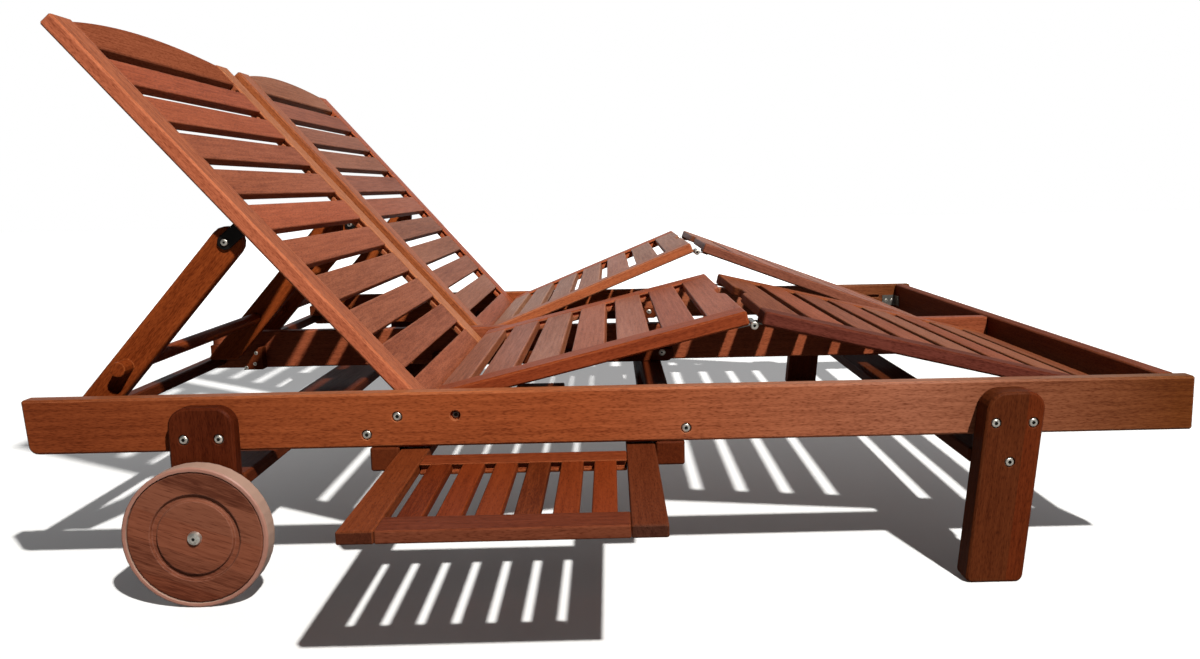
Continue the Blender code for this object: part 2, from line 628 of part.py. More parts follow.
for side, far in SIDES:
    middle = sum(across(far, PANEL_Y0, PANEL_Y1)) / 2

    # Back: slats and inner stile, outer stile, arched crest
    back = empty("backrest_" + side, root, (BACK_X, 0.0, PIVOT_Z), BACK_TILT)
    shape = stile_outline(LUG_OVERHANG, -BACK_STILE_TOP)
    prop_z = PIVOT_DROP - PROP_DROP
    plate = [(-PROP_S - PLATE_R, PIVOT_DROP - STILE_T + LAP)]
    plate += arc(-PROP_S, prop_z, PLATE_R, PLATE_R, 180, 360, 8)
    plate += [(-PROP_S + PLATE_R, PIVOT_DROP - STILE_T + LAP)]

    inner = board("backrest_slats_" + side, back, WOOD_SLAT, shape, *across(far, *INNER_STILE))
    dado(inner, far, *INNER_DADO, LUG_OVERHANG, -CREST_LOW, PIVOT_DROP)
    extra = bmesh.new()
    y0, y1 = across(far, *SLAT_SPAN)
    for k in range(BACK_SLATS):
        s1 = CREST_LOW - BACK_GAP - k * BACK_PITCH
        slat(extra, -s1, -s1 + BACK_PITCH - BACK_GAP, y0, y1, PIVOT_DROP)
    extrude(extra, circle(0.0, 0.0, BOSS_R), *across(far, *INNER_BOSS))
    extrude(extra, plate, *across(far, *INNER_PLATE))
    combine(inner, extra, "UNION")

    outer = board("backrest_stile_" + side, back, WOOD, shape, *across(far, *OUTER_STILE))
    dado(outer, far, *OUTER_DADO, LUG_OVERHANG, -CREST_LOW, PIVOT_DROP)
    extra = bmesh.new()
    extrude(extra, circle(0.0, 0.0, BOSS_R), *across(far, *OUTER_BOSS))
    extrude(extra, plate, *across(far, *OUTER_PLATE))
    combine(outer, extra, "UNION")

    y0, y1 = across(far, OUTER_STILE[1] + TOUCH, INNER_STILE[0] - TOUCH)
    outline = [(-CREST_LOW, y0)]
    for i in range(2 * ARC_STEPS + 1):
        t = -1.0 + i / ARC_STEPS
        outline.append((-CREST_SHOULDER - CREST_RISE * (1.0 - t * t), (y0 + y1) / 2 + t * (y1 - y0) / 2))
    outline.append((-CREST_LOW, y1))
    crest_top = PIVOT_DROP - SEAT
    board("backrest_crest_" + side, back, WOOD_SLAT, outline, crest_top - CREST_T, crest_top, axis="Z")

    # Prop: two arms and a dowel, its feet cut level so that they stand on the head bar
    prop = empty("prop_" + side, back, (-PROP_S, 0.0, prop_z), -PROP_TILT - BACK_TILT)
    pivot_x = BACK_X - PROP_S * math.cos(BACK_TILT) + prop_z * math.sin(BACK_TILT)
    pivot_z = PIVOT_Z + PROP_S * math.sin(BACK_TILT) + prop_z * math.cos(BACK_TILT)
    drop = pivot_z - BAR_TOP - ARM_LIFT
    foot = drop / math.sin(PROP_TILT)
    skew = ARM_W / 2 / math.tan(PROP_TILT)
    nose = 1.0 - 2.0 * ARM_NOSE / ARM_W
    arm = arc(0.0, 0.0, ARM_W / 2, ARM_W / 2, -90, 90, 8)
    arm += [(-foot - skew + 2.0 * ARM_NOSE, ARM_W / 2), (-foot - skew * nose, ARM_W / 2 * nose)]
    arm += [(-foot + skew, -ARM_W / 2)]
    outer = board("prop_arm_outer_" + side, prop, WOOD, arm, *across(far, *ARM_OUTER))
    extra = bmesh.new()
    y0, y1 = across(far, ARM_OUTER[0] - DOWEL_OUT, ARM_INNER[1] + DOWEL_OUT)
    extrude(extra, circle(-DOWEL_AT, 0.0, DOWEL_R), y0, y1)
    combine(outer, extra, "UNION")
    inner = board("prop_arm_inner_" + side, prop, WOOD, arm, *across(far, *ARM_INNER))
    cuts = bmesh.new()
    y0, y1 = across(far, ARM_INNER[0] - CUT_OUT, ARM_INNER[1] + CUT_OUT)
    extrude(cuts, circle(-DOWEL_AT, 0.0, DOWEL_R + TOUCH), y0, y1)
    combine(inner, cuts, "DIFFERENCE")

    # Thigh half of the knee rest
    lift = KNEE_FAR if far else KNEE_NEAR
    thigh_tilt = lift - THIGH_RISE
    thigh = empty("thigh_" + side, root, (THIGH_X, 0.0, PIVOT_Z), -thigh_tilt)
    thigh_end = KNEE_X - BARREL_R - BARREL_GAP
    shape = stile_outline(-LUG_OVERHANG, thigh_end)
    inner = board("thigh_slats_" + side, thigh, WOOD_SLAT, shape, *across(far, *INNER_STILE))
    dado(inner, far, *INNER_DADO, -LUG_OVERHANG, thigh_end, PIVOT_DROP)
    extra = bmesh.new()
    y0, y1 = across(far, *SLAT_SPAN)
    tail = -LUG_OVERHANG + SEAT
    last = thigh_end - THIGH_LAST
    notched_slat(extra, last, thigh_end - SEAT, y0, y1, PIVOT_DROP, middle)
    for k in range(round((last - tail) / THIGH_PITCH)):
        x1 = last - THIGH_GAP - k * THIGH_PITCH
        slat(extra, max(x1 - THIGH_PITCH + THIGH_GAP, tail), x1, y0, y1, PIVOT_DROP)
    extrude(extra, circle(0.0, 0.0, BOSS_R), *across(far, *INNER_BOSS))
    combine(inner, extra, "UNION")
    outer = board("thigh_stile_" + side, thigh, WOOD, shape, *across(far, *OUTER_STILE))
    dado(outer, far, *OUTER_DADO, -LUG_OVERHANG, thigh_end, PIVOT_DROP)
    extra = bmesh.new()
    extrude(extra, circle(0.0, 0.0, BOSS_R), *across(far, *OUTER_BOSS))
    combine(outer, extra, "UNION")

    # Calf half, hinged to the thigh at the knee, its pegs in the rail slots
    knee_z = PIVOT_DROP - KNEE_DROP
    calf_tilt = calf_slope(lift) + CALF_FALL
    calf = empty("calf_" + side, thigh, (KNEE_X, 0.0, knee_z), thigh_tilt + calf_tilt)
    shape = plain_stile(CALF_START, CALF_END, KNEE_DROP)
    peg_z = KNEE_DROP - PEG_DROP
    inner = board("calf_slats_" + side, calf, WOOD_SLAT, shape, *across(far, *INNER_STILE))
    dado(inner, far, *INNER_DADO, CALF_START, CALF_END, KNEE_DROP)
    extra = bmesh.new()
    calf_slat = CALF_PITCH - CALF_GAP
    notched_slat(extra, CALF_START + CALF_FIRST, CALF_START + SEAT, y0, y1, KNEE_DROP, middle)
    first = CALF_START + CALF_FIRST + CALF_GAP
    for k in range(CALF_SLATS):
        x0 = first + k * CALF_PITCH
        slat(extra, x0, x0 + calf_slat, y0, y1, KNEE_DROP)
    slat(extra, first + CALF_SLATS * CALF_PITCH, CALF_END - SEAT, y0, y1, KNEE_DROP)
    extrude(extra, circle(PEG_X, peg_z, PEG_R, 12), *across(far, *INNER_PEG))
    combine(inner, extra, "UNION")
    outer = board("calf_stile_" + side, calf, WOOD, shape, *across(far, *OUTER_STILE))
    dado(outer, far, *OUTER_DADO, CALF_START, CALF_END, KNEE_DROP)
    extra = bmesh.new()
    extrude(extra, circle(PEG_X, peg_z, PEG_R, 12), *across(far, *OUTER_PEG))
    combine(outer, extra, "UNION")

    # Knee hinges: each leaf lies under its stile and ends in its half of the barrel
    for place, stile in (("outer", OUTER_STILE), ("inner", INNER_STILE)):
        mid = (stile[0] + stile[1]) / 2
        for name, parent, x, z, under, way, y0, y1 in (
                ("thigh", thigh, KNEE_X, knee_z, PIVOT_DROP - STILE_T, -1, mid - LEAF_W / 2, mid - TOUCH / 2),
                ("calf", calf, 0.0, 0.0, KNEE_DROP - STILE_T, 1, mid + TOUCH / 2, mid + LEAF_W / 2)):
            leaf_top = under - TOUCH
            leaf_low = leaf_top - LEAF_T
            start = math.degrees(math.asin((leaf_low - z) / BARREL_R))
            end = math.degrees(math.asin((leaf_top - z) / BARREL_R))
            outline = arc(0.0, 0.0, way * BARREL_R, BARREL_R, end, start + 360.0, 14)
            outline = [(x + a, z + b) for a, b in outline]
            outline += [(x + way * LEAF_L, leaf_low), (x + way * LEAF_L, leaf_top)]
            bm = bmesh.new()
            extrude(bm, outline, *across(far, y0, y1))
            solid("knee_leaf_" + name + "_" + place + "_" + side, bm, parent, STEEL)

# Tray, pulled out on the near side
tray = empty("tray", root, (TRAY_X, 0.0, 0.0))
tray_top = RAIL_Z0 - TRAY_DROP
tray_low = tray_top - TRAY_T
tray_half = TRAY_W / 2
y_front = -TRAY_OUT
y_back = -TRAY_OUT + TRAY_D
inside = tray_half - TRAY_STILE - TOUCH
slat_mid = tray_top - SLAT_DROP - TRAY_SLAT_T / 2


def tray_rail(y_plain, y_dado):
    """Section of a tray rail: a bar with the groove for the slats in one edge."""
    bottom = y_dado + math.copysign(DADO_D, y_plain - y_dado)
    z0 = slat_mid - DADO_H / 2
    z1 = slat_mid + DADO_H / 2
    return [(y_plain, tray_low), (y_dado, tray_low), (y_dado, z0), (bottom, z0),
            (bottom, z1), (y_dado, z1), (y_dado, tray_top), (y_plain, tray_top)]


front_rail = board("tray_slats", tray, WOOD_SLAT, tray_rail(y_front, y_front + TRAY_RAIL), -inside, inside,
                   axis="X", soft=SOFT_SLAT)
extra = bmesh.new()
tray_gap = (2.0 * (tray_half - TRAY_STILE) - TRAY_SLATS * TRAY_SLAT_W) / (TRAY_SLATS + 1)
y0 = y_front + TRAY_RAIL - TENON
y1 = y_back - TRAY_RAIL + TENON
for k in range(TRAY_SLATS):
    x0 = -tray_half + TRAY_STILE + tray_gap + k * (TRAY_SLAT_W + tray_gap)
    slat(extra, x0, x0 + TRAY_SLAT_W, y0, y1, tray_top, TRAY_SLAT_T)
combine(front_rail, extra, "UNION")
back_rail = bmesh.new()
extrude(back_rail, tray_rail(y_back, y_back - TRAY_RAIL), -inside, inside, "X")
soften(back_rail, SOFT_SLAT)
combine(front_rail, back_rail, "UNION")
for name, x0 in (("head", -tray_half), ("foot", tray_half - TRAY_STILE)):
    board("tray_stile_" + name, tray, WOOD, rectangle(x0, x0 + TRAY_STILE, tray_low, tray_top),
          y_front, TRAY_TAIL, soft=SOFT_SLAT)
outline = [(-inside, tray_low), (inside, tray_low), (inside, tray_top), (STOP_L / 2, tray_top),
           (STOP_L / 2, tray_top + STOP_H), (-STOP_L / 2, tray_top + STOP_H), (-STOP_L / 2, tray_top),
           (-inside, tray_top)]
board("tray_tail", tray, WOOD_DARK, outline, TRAY_TAIL - TAIL_W, TRAY_TAIL, soft=SOFT_SLAT)

# Runners of L section that the tray slides in
for name, way in (("head", -1.0), ("foot", 1.0)):
    a0 = tray_half - RUNNER_LIP + RUN
    a1 = tray_half + RUN
    a2 = tray_half + RUN + RUNNER_W
    top = RAIL_Z0 - TOUCH
    low = top - RUNNER_H
    lip_top = tray_low - TOUCH
    outline = [(a0, low), (a2, low), (a2, top), (a1, top), (a1, lip_top), (a0, lip_top)]
    outline = [(TRAY_X + way * a, z) for a, z in outline]
    board("tray_runner_" + name, root, WOOD_DARK, outline, RUNNER_END, FRAME_W - RUNNER_END)
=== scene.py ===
"""Looks of the double sun lounger: oiled hardwood, tyres, steel bolts, studio floor, light and camera."""

import json
import math

import bmesh
import bpy
from mathutils import Matrix, Vector


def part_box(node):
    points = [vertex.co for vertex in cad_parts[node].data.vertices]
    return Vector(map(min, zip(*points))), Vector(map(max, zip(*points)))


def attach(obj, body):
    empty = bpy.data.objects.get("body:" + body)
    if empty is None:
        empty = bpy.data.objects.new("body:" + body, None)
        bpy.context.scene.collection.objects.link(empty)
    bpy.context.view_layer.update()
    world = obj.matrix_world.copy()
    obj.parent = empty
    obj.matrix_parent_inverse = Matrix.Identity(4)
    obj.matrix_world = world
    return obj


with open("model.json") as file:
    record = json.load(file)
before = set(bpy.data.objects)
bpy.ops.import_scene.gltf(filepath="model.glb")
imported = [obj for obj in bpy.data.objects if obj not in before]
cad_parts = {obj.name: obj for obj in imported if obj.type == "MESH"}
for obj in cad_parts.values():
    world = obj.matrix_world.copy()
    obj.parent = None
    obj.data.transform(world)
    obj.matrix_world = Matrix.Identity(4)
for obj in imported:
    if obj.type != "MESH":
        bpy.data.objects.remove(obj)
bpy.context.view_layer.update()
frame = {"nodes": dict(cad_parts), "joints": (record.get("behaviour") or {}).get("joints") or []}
nodes = frame["nodes"]
joints = {j["name"]: j for j in frame["joints"]}
SIDES = ("near", "far")

# Places are in metres from the head end of the rails and the outer face of the near rail,
# and SHIFT takes them to the frame of the pack
SHIFT = Vector((-0.875, -0.53975, 0.0))
FRAME_W = 1.342
RAIL_T = 0.026
CENTRE_T = 0.028
CENTRE_Y = FRAME_W / 2 - CENTRE_T / 2
BACK_TILT = math.radians(48.9)
PROP_TILT = math.radians(-48.5)
LEG_LEAN = math.radians(5.2)


# Node graphs

class Graph:
    """The nodes of a material, a lamp or the world, under construction."""

    def __init__(self, owner):
        owner.use_nodes = True
        self.owner = owner
        self.tree = owner.node_tree

    def sockets(self, name):
        """Inputs of a node that the tree starts with."""
        return self.tree.nodes[name].inputs

    def add(self, kind, inputs=None, **settings):
        node = self.tree.nodes.new("ShaderNode" + kind)
        for key, value in settings.items():
            setattr(node, key, value)
        for key, value in (inputs or {}).items():
            self.feed(node.inputs[key], value)
        return node

    def feed(self, socket, value):
        """Link another node's output to a socket, or set the socket to a constant."""
        if isinstance(value, bpy.types.NodeSocket):
            self.tree.links.new(value, socket)
        else:
            socket.default_value = value

    def math(self, operation, *values):
        node = self.add("Math", operation=operation)
        for socket, value in zip(node.inputs, values):
            self.feed(socket, value)
        return node.outputs[0]

    def blend(self, factor, a, b):
        """Number a where factor is 0, b where it is 1."""
        return self.add("Mix", {0: factor, 2: a, 3: b}, data_type="FLOAT").outputs[0]

    def tint(self, factor, a, b, mode="MIX"):
        """Colour a where factor is 0, mixed with b or multiplied by it where it is 1."""
        return self.add("Mix", {0: factor, 6: a, 7: b}, data_type="RGBA", blend_type=mode).outputs[2]

    def scaled(self, point, factors):
        """A point with each coordinate stretched by its own factor."""
        node = self.add("CombineXYZ")
        for socket, value, factor in zip(node.inputs, point, factors):
            self.feed(socket, self.math("MULTIPLY", value, factor))
        return node.outputs[0]

    def noise(self, vector, scale=1.0, detail=2.0, roughness=0.5):
        node = self.add("TexNoise", {"Vector": vector, "Scale": scale, "Detail": detail,
                                     "Roughness": roughness})
        return node.outputs[0]

    def span(self, value, low, high, to_low=0.0, to_high=1.0):
        """Value moved from the span low to high to another span, and held inside it."""
        node = self.add("MapRange", {"Value": value, "From Min": low, "From Max": high,
                                     "To Min": to_low, "To Max": to_high})
        return node.outputs[0]

    def facing(self, normal, axis, low, high):
        """Mask of the faces that look along an axis."""
        return self.span(self.add("SeparateXYZ", {"Vector": normal}).outputs[axis], low, high)

    def ramp(self, factor, stops):
        """Colour between stops, each of them a place and a colour."""
        node = self.add("ValToRGB", {"Fac": factor})
        marks = node.color_ramp.elements
        while len(marks) < len(stops):
            marks.new(0.5)
        for mark, (position, colour) in zip(marks, stops):
            mark.position = position
            mark.color = colour
        return node.outputs[0]


def shade(tone, factors):
    return (tone[0] * factors[0], tone[1] * factors[1], tone[2] * factors[2], 1.0)


# Middle tone of each family of boards, and the specular level of its oiled faces; the near and far copies of
# a family differ partly by painted light and shade, so the near calf stile is darker as painted shade and the
# far thigh and calf boards paler as painted sheen
TONES = {
    "rail": ((0.270, 0.0588, 0.0177), 0.03),
    "centre": ((0.216, 0.0564, 0.0240), 0.03),
    "foot": ((0.140, 0.0310, 0.0105), 0.01),
    "leg": ((0.086, 0.0167, 0.0044), 0.03),
    "wheel_leg": ((0.070, 0.0105, 0.0029), 0.03),
    "hidden": ((0.080, 0.0165, 0.0050), 0.03),
    "prop": ((0.205, 0.0378, 0.0075), 0.03),
    "crest_near": ((0.238, 0.0550, 0.0225), 0.0),
    "crest_far": ((0.258, 0.0715, 0.0248), 0.06),
    "back_stile_near": ((0.352, 0.0800, 0.0255), 0.05),
    "back_stile_far": ((0.290, 0.0660, 0.0225), 0.07),
    "back_slat_near": ((0.254, 0.0635, 0.0247), 0.025),
    "back_slat_far": ((0.235, 0.0625, 0.0226), 0.09),
    "thigh_stile_near": ((0.208, 0.0440, 0.0110), 0.05),
    "thigh_stile_far": ((0.300, 0.0620, 0.0190), 0.08),
    "thigh_slat_near": ((0.266, 0.0738, 0.0293), 0.11),
    "thigh_slat_far": ((0.305, 0.1080, 0.0490), 0.15),
    "calf_stile_near": ((0.107, 0.0232, 0.0098), 0.005),
    "calf_stile_far": ((0.225, 0.0680, 0.0290), 0.05),
    "calf_slat_near": ((0.203, 0.0560, 0.0205), 0.01),
    "calf_slat_far": ((0.257, 0.0705, 0.0234), 0.1),
    "tray_head": ((0.145, 0.0294, 0.0079), 0.03),
    "tray_foot": ((0.098, 0.0213, 0.0072), 0.03),
    "tray_slat": ((0.132, 0.0229, 0.0054), 0.03),
    "wheel": ((0.150, 0.0445, 0.0226), 0.06),
}
# Factors on a middle tone
PLAIN = (1.0, 1.0, 1.0)
DARKER = (0.58, 0.50, 0.48)
LIGHTER = (1.32, 1.42, 1.48)
PORE = (0.34, 0.26, 0.24)
# Pale factor on rounded edges: partly wear, partly a painted highlight
WORN_AND_HIGHLIT = (1.5, 2.4, 3.4)
# Tints of whole boards, and the painted sheen on faces that look up
RED_BOARD = (1.10, 0.92, 0.80, 1.0)
BROWN_BOARD = (0.90, 1.06, 1.16, 1.0)
TOP_SHEEN = (1.15, 1.55, 1.95, 1.0)
# Where the tones lie between the darkest and the lightest level of the timber
TONE_STOPS = ((0.06, DARKER), (0.5, PLAIN), (0.94, LIGHTER))
# How much of each pattern goes into that level
STREAK_SHARE = 1.25
FLECK_SHARE = -1.0
RING_SHARE = 0.10
BROAD_SHARE = 0.70
# Flecks strong enough to be open pores, and how far these darken the colour
PORE_SPAN = (0.58, 0.72)
PORE_SHARE = 0.38
# Stretch of each pattern along the grain and twice across it
RING_STRETCH = (0.06, 1.0, 1.0)
STREAK_STRETCH = (13.0, 230.0, 230.0)
BROAD_STRETCH = (1.3, 10.0, 10.0)
FLECKS_ALONG = 130.0
FLECKS_ACROSS = 720.0
# How far apart in the log boards are cut, along it, across it and out from its pith
LOG_LENGTH = 9.0
LOG_ACROSS = 0.21
LOG_OUT = 0.16
PITH = 0.045
# Seeds of the boards at the ends of a row
END_SEED = 61.3
END_STEP = 7.7
# Faces that look up and toward the camera, which take painted sheen and painted light and shade: axis, and
# the part of the normal along it
FACE_UP = (2, 0.5, 0.9)
FACE_NEAR = (1, -0.5, -0.9)
# Rounded edges: radius, how far the normal turns there, and how the streaks break up their pale rim, which is
# partly wear and partly a painted highlight
EDGE_R = 0.0026
EDGE_TURN = (0.985, 0.86)
EDGE_WEAR_AND_HIGHLIGHT = 0.7
PALE_EDGE_SPAN = (0.35, 0.65)
PALE_EDGE_LEAST = 0.35
# Oiled surface: roughness over a span of the patterns, and the depth of streaks to that of pores
OIL_ROUGH = (0.6, 1.4, 0.54, 0.40)
STREAK_RELIEF = 0.6
# Steel strap under a back: its middle along the back, half its width and the height it stays under
STRAP_AT = (-0.3675, 0.02, 0.0138)
# Near black: partly the strap's steel, partly painted shade cast by the stile above
STRAP_STEEL_AND_SHADE = (0.020, 0.018, 0.017, 1.0)
STRAP_ROUGH = 0.45
STRAP_METAL = 0.8
# Axes in the order along the grain, across it and through the board
ORDER = {"X": (0, 1, 2), "Y": (1, 0, 2), "Z": (2, 0, 1)}


def split_boards(g, axes, along, seed, strips, turn):
    """Each point's board and grain axes, and masks of the end boards and of those at the high end."""
    grain = [axes[i] for i in ORDER[along]]
    board = float(seed)
    outside = None
    after = None
    if strips:
        axis, start, pitch = strips
        count = g.math("DIVIDE", g.math("SUBTRACT", axes["XYZ".index(axis)], start), pitch)
        board = g.math("ADD", g.math("FLOOR", count), float(seed))
    if turn:
        axis, low, high, end_along = turn
        spot = axes["XYZ".index(axis)]
        after = g.math("GREATER_THAN", spot, high)
        outside = g.math("ADD", g.math("LESS_THAN", spot, low), after)
        end_grain = [axes[i] for i in ORDER[end_along]]
        grain = [g.blend(outside, inner, end) for inner, end in zip(grain, end_grain)]
        board = g.blend(outside, board, g.math("MULTIPLY_ADD", after, END_STEP, seed + END_SEED))
    return board, grain, outside, after


def cut_from_log(g, grain, picks):
    """Grain axes moved so that each board shows its own part of the log."""
    a, b, c = grain
    a = g.math("ADD", a, g.math("MULTIPLY", picks[0], LOG_LENGTH))
    b = g.math("ADD", b, g.math("MULTIPLY", picks[1], LOG_ACROSS))
    c = g.math("ADD", c, g.math("MULTIPLY_ADD", picks[2], LOG_OUT, PITH))
    return a, b, c


def figure(g, grain, flecks):
    """Patterns of the timber: growth rings, streaks, flecks and broad changes of tone."""
    rings = g.add("TexWave", {"Vector": g.scaled(grain, RING_STRETCH), "Scale": 30.0, "Distortion": 8.0,
                              "Detail": 2.0, "Detail Scale": 0.6},
                  wave_type="RINGS", rings_direction="X").outputs[1]
    streaks = g.noise(g.scaled(grain, STREAK_STRETCH), detail=4.0, roughness=0.66)
    fleck = g.noise(g.scaled(grain, (flecks, FLECKS_ACROSS, FLECKS_ACROSS)), detail=1.0)
    broad = g.noise(g.scaled(grain, BROAD_STRETCH), detail=2.0)
    return rings, streaks, fleck, broad


def wood(name, tone, along, seed, origin=(0.0, 0.0, 0.0), tilt=0.0, strips=None, turn=None, vary=0.35,
         drift=None, strap=None, ends=None, bleach=False, sides=None, flecks=FLECKS_ALONG, edge=EDGE_WEAR_AND_HIGHLIGHT):
    """Oiled hardwood. Grain runs along one axis of a frame turned about Y at origin.

    strips = (axis, start, pitch) gives each board of a row its own cut of timber.
    turn = (axis, low, high, along) is the stretch they fill, and the grain of the boards at its ends.
    vary is how far the boards of a row differ in tone.
    drift = ((place, tint), ...) lets the tone of a long board change along X, partly as the wood's own tone
    and partly as painted light.
    strap = (x, reach, z) paints the steel strap under a back, near black partly as painted shade of the stile
    above.
    ends = (before, after) tints the boards at the two ends of the stretch in turn.
    bleach = True pales the upward faces with a painted sheen, the bright surround reflected in them.
    sides tints the faces that look along -Y: painted light and shade, lighter or darker than the tops as they
    are lit.
    flecks is how many flecks of grain lie along a metre.
    edge is how far the rounded edges are painted pale, partly as wear and partly as a painted highlight.
    """
    g = Graph(bpy.data.materials.new(name))
    shader = g.sockets("Principled BSDF")
    middle, sheen = TONES[tone]
    place = g.add("TexCoord").outputs["Object"]
    local = g.add("Mapping", {"Vector": place, "Location": origin, "Rotation": (0.0, tilt, 0.0)},
                  vector_type="TEXTURE")
    axes = g.add("SeparateXYZ", {"Vector": local.outputs[0]}).outputs
    board, grain, outside, after = split_boards(g, axes, along, seed, strips, turn)
    chance = g.add("TexWhiteNoise", {"W": board}, noise_dimensions="1D").outputs
    picks = g.add("SeparateColor", {"Color": chance["Color"]}).outputs
    rings, streaks, fleck, broad = figure(g, cut_from_log(g, grain, picks), flecks)
    pores = g.span(fleck, *PORE_SPAN)

    level = 0.5
    for pattern, share in ((streaks, STREAK_SHARE), (fleck, FLECK_SHARE), (rings, RING_SHARE),
                           (broad, BROAD_SHARE), (chance["Value"], vary)):
        level = g.math("MULTIPLY_ADD", g.math("SUBTRACT", pattern, 0.5), share, level)
    colour = g.ramp(level, [(stop, shade(middle, factors)) for stop, factors in TONE_STOPS])
    colour = g.tint(1.0, colour, g.tint(picks[1], RED_BOARD, BROWN_BOARD), "MULTIPLY")
    if ends:
        end_tint = g.tint(after, (*ends[0], 1.0), (*ends[1], 1.0))
        colour = g.tint(outside, colour, end_tint, "MULTIPLY")
    # Tone along a board: partly its own, partly painted light and reflection
    if drift:
        first, last = drift[0][0], drift[-1][0]
        stops = [((spot - first) / (last - first), (*tint, 1.0)) for spot, tint in drift]
        colour = g.tint(1.0, colour, g.ramp(g.span(axes[0], first, last), stops), "MULTIPLY")
    colour = g.tint(g.math("MULTIPLY", pores, PORE_SHARE), colour, shade(middle, PORE))

    soft = g.add("Bevel", {"Radius": EDGE_R}, samples=6).outputs[0]
    flat = g.add("NewGeometry").outputs["Normal"]
    # Painted sheen: faces that look up are paled
    if bleach:
        colour = g.tint(g.facing(flat, *FACE_UP), colour, TOP_SHEEN, "MULTIPLY")
    # Painted light and shade on the faces that look along -Y
    if sides:
        colour = g.tint(g.facing(flat, *FACE_NEAR), colour, (*sides, 1.0), "MULTIPLY")
    # Rounded edges paled: partly wear, partly a painted highlight where they would catch the light
    agree = g.add("VectorMath", {0: soft, 1: flat}, operation="DOT_PRODUCT").outputs["Value"]
    patchy = g.span(streaks, *PALE_EDGE_SPAN, PALE_EDGE_LEAST * edge, edge)
    worn_and_highlit = g.math("MULTIPLY", g.span(agree, *EDGE_TURN), patchy)
    colour = g.tint(worn_and_highlit, colour, shade(middle, WORN_AND_HIGHLIT))
    rough = g.span(g.math("ADD", streaks, broad), *OIL_ROUGH)
    if strap:
        x, reach, z = strap
        near = g.math("LESS_THAN", g.math("ABSOLUTE", g.math("SUBTRACT", axes[0], x)), reach)
        steel_there = g.math("MULTIPLY", near, g.math("LESS_THAN", axes[2], z))
        # Strap painted near black: partly steel, partly painted shade of the stile above
        colour = g.tint(steel_there, colour, STRAP_STEEL_AND_SHADE)
        rough = g.blend(steel_there, rough, STRAP_ROUGH)
        g.feed(shader["Metallic"], g.math("MULTIPLY", steel_there, STRAP_METAL))
    g.feed(shader["Base Color"], colour)
    g.feed(shader["Roughness"], rough)
    height = g.math("SUBTRACT", g.math("MULTIPLY", streaks, STREAK_RELIEF), pores)
    bump = g.add("Bump", {"Strength": 0.22, "Distance": 0.0005, "Height": height, "Normal": soft})
    g.feed(shader["Normal"], bump.outputs[0])
    g.feed(shader["Specular IOR Level"], sheen)
    return g.owner


# Tyres
TYRE_DARK = (0.255, 0.106, 0.072, 1.0)
TYRE_PALE = (0.335, 0.155, 0.110, 1.0)
TREAD_TINT = (1.20, 1.68, 1.79, 1.0)
TREAD_SPAN = (0.75, 0.35)
SCUFF = (0.380, 0.240, 0.180, 1.0)
SCUFF_SPAN = (0.56, 0.72)
SCUFF_SHARE = 0.30
RUBBER_ROUGH = (0.3, 0.7, 0.62, 0.50)


def rubber(name):
    """Pinkish tan tyre with a paler tread, faint mould mottling and scuffs."""
    g = Graph(bpy.data.materials.new(name))
    shader = g.sockets("Principled BSDF")
    place = g.add("TexCoord").outputs["Object"]
    broad = g.noise(place, scale=26.0, detail=3.0)
    fine = g.noise(place, scale=900.0, detail=2.0)
    scuff = g.span(g.noise(place, scale=140.0, detail=4.0, roughness=0.7), *SCUFF_SPAN)
    normal = g.add("NewGeometry").outputs["Normal"]
    sideways = g.math("ABSOLUTE", g.add("SeparateXYZ", {"Vector": normal}).outputs[1])
    colour = g.tint(broad, TYRE_DARK, TYRE_PALE)
    colour = g.tint(g.span(sideways, *TREAD_SPAN), colour, TREAD_TINT, "MULTIPLY")
    colour = g.tint(g.math("MULTIPLY", scuff, SCUFF_SHARE), colour, SCUFF)
    g.feed(shader["Base Color"], colour)
    g.feed(shader["Roughness"], g.span(broad, *RUBBER_ROUGH))
    bevel = g.add("Bevel", {"Radius": 0.002}, samples=6).outputs[0]
    bump = g.add("Bump", {"Strength": 0.25, "Distance": 0.0004, "Height": fine, "Normal": bevel})
    g.feed(shader["Normal"], bump.outputs[0])
    return g.owner


# Steel
STEEL_DULL = (0.34, 0.32, 0.28)
STEEL_CLEAN = (0.60, 0.57, 0.51)
STEEL_METAL = 0.9
PATCH_SPAN = (0.3, 0.7)
PATCH_ROUGH = (0.46, 0.30)
TURNING_MARKS = (900.0, 5000.0, 900.0)


def steel(name, bright):
    """Stainless steel with fine turning marks and a few dull patches."""
    g = Graph(bpy.data.materials.new(name))
    shader = g.sockets("Principled BSDF")
    place = g.add("TexCoord").outputs["Object"]
    axes = g.add("SeparateXYZ", {"Vector": place}).outputs
    fine = g.noise(g.scaled(axes, TURNING_MARKS), detail=2.0)
    dull = g.noise(place, scale=260.0, detail=3.0)
    low = shade(STEEL_DULL, (bright, bright, bright))
    high = shade(STEEL_CLEAN, (bright, bright, bright))
    g.feed(shader["Base Color"], g.tint(g.span(dull, *PATCH_SPAN), low, high))
    g.feed(shader["Roughness"], g.span(dull, *PATCH_SPAN, *PATCH_ROUGH))
    g.feed(shader["Metallic"], STEEL_METAL)
    bump = g.add("Bump", {"Strength": 0.12, "Distance": 0.0001, "Height": fine})
    g.feed(shader["Normal"], bump.outputs[0])
    return g.owner


def dress(node, material):
    slots = nodes[node].data.materials
    slots.clear()
    slots.append(material)


def timber(node, *cut, **looks):
    """Dress a node in wood of its own."""
    dress(node, wood(node, *cut, **looks))


def pivot(joint):
    return tuple(joints[joint]["pos_m"])


